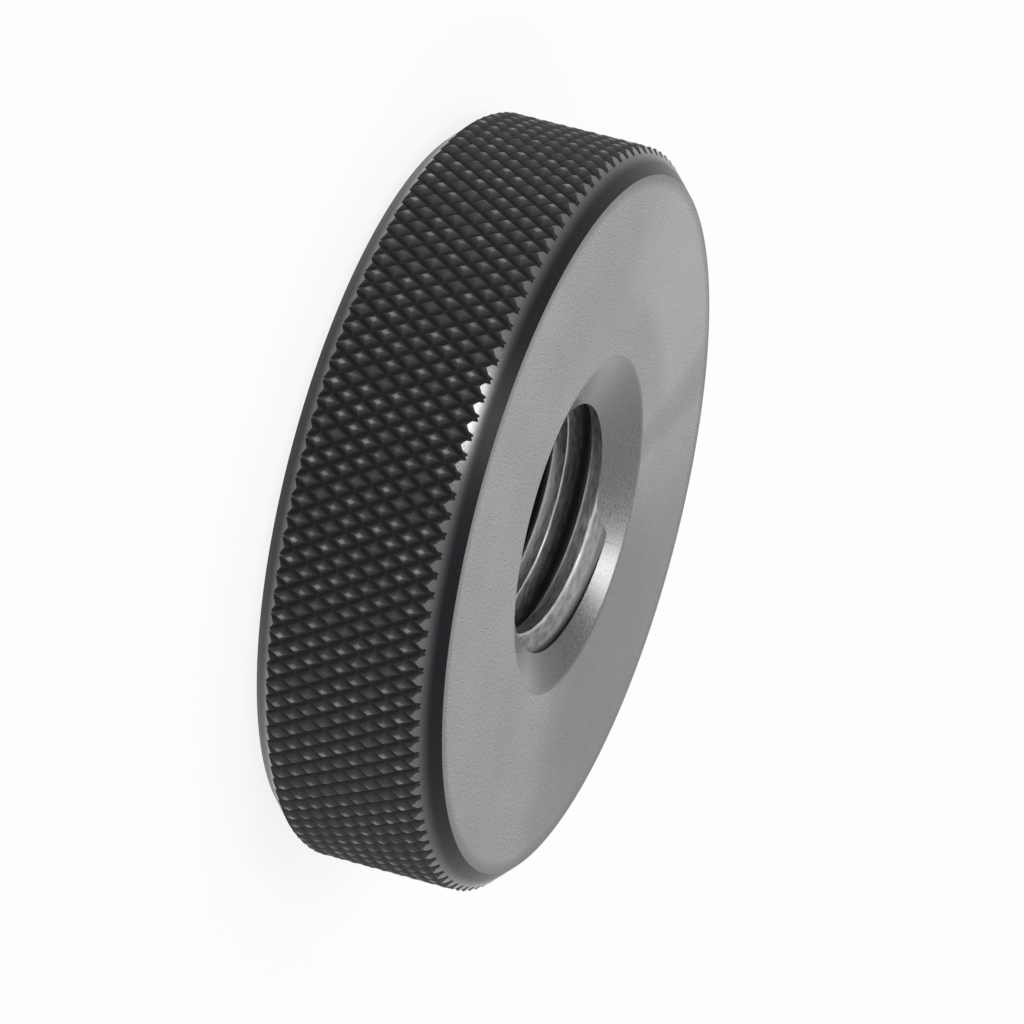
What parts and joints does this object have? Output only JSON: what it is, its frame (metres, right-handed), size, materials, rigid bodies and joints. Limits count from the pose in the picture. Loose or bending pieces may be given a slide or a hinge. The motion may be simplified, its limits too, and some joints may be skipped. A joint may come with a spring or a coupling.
{
  "type": "thread ring gauge",
  "caption": "Solid thread ring gauge: a knurled steel ring with bevelled rim, flat ground faces and a countersunk right-hand threaded bore.",
  "frame": {"origin": "centre of the threaded bore in the plane of the lower face", "axes": "+Z along the bore's axis, up out of the upper face; the ring lies on its lower face"},
  "size_m": [0.038, 0.038, 0.0097],
  "materials": {
    "steel": "hardened steel: faces, countersinks and thread ground and lapped bare, rim and bevels black-finished with bare tips on the knurl"
  },
  "bodies": {
    "root": {"ring_gauge": "steel"}
  },
  "joints": []
}
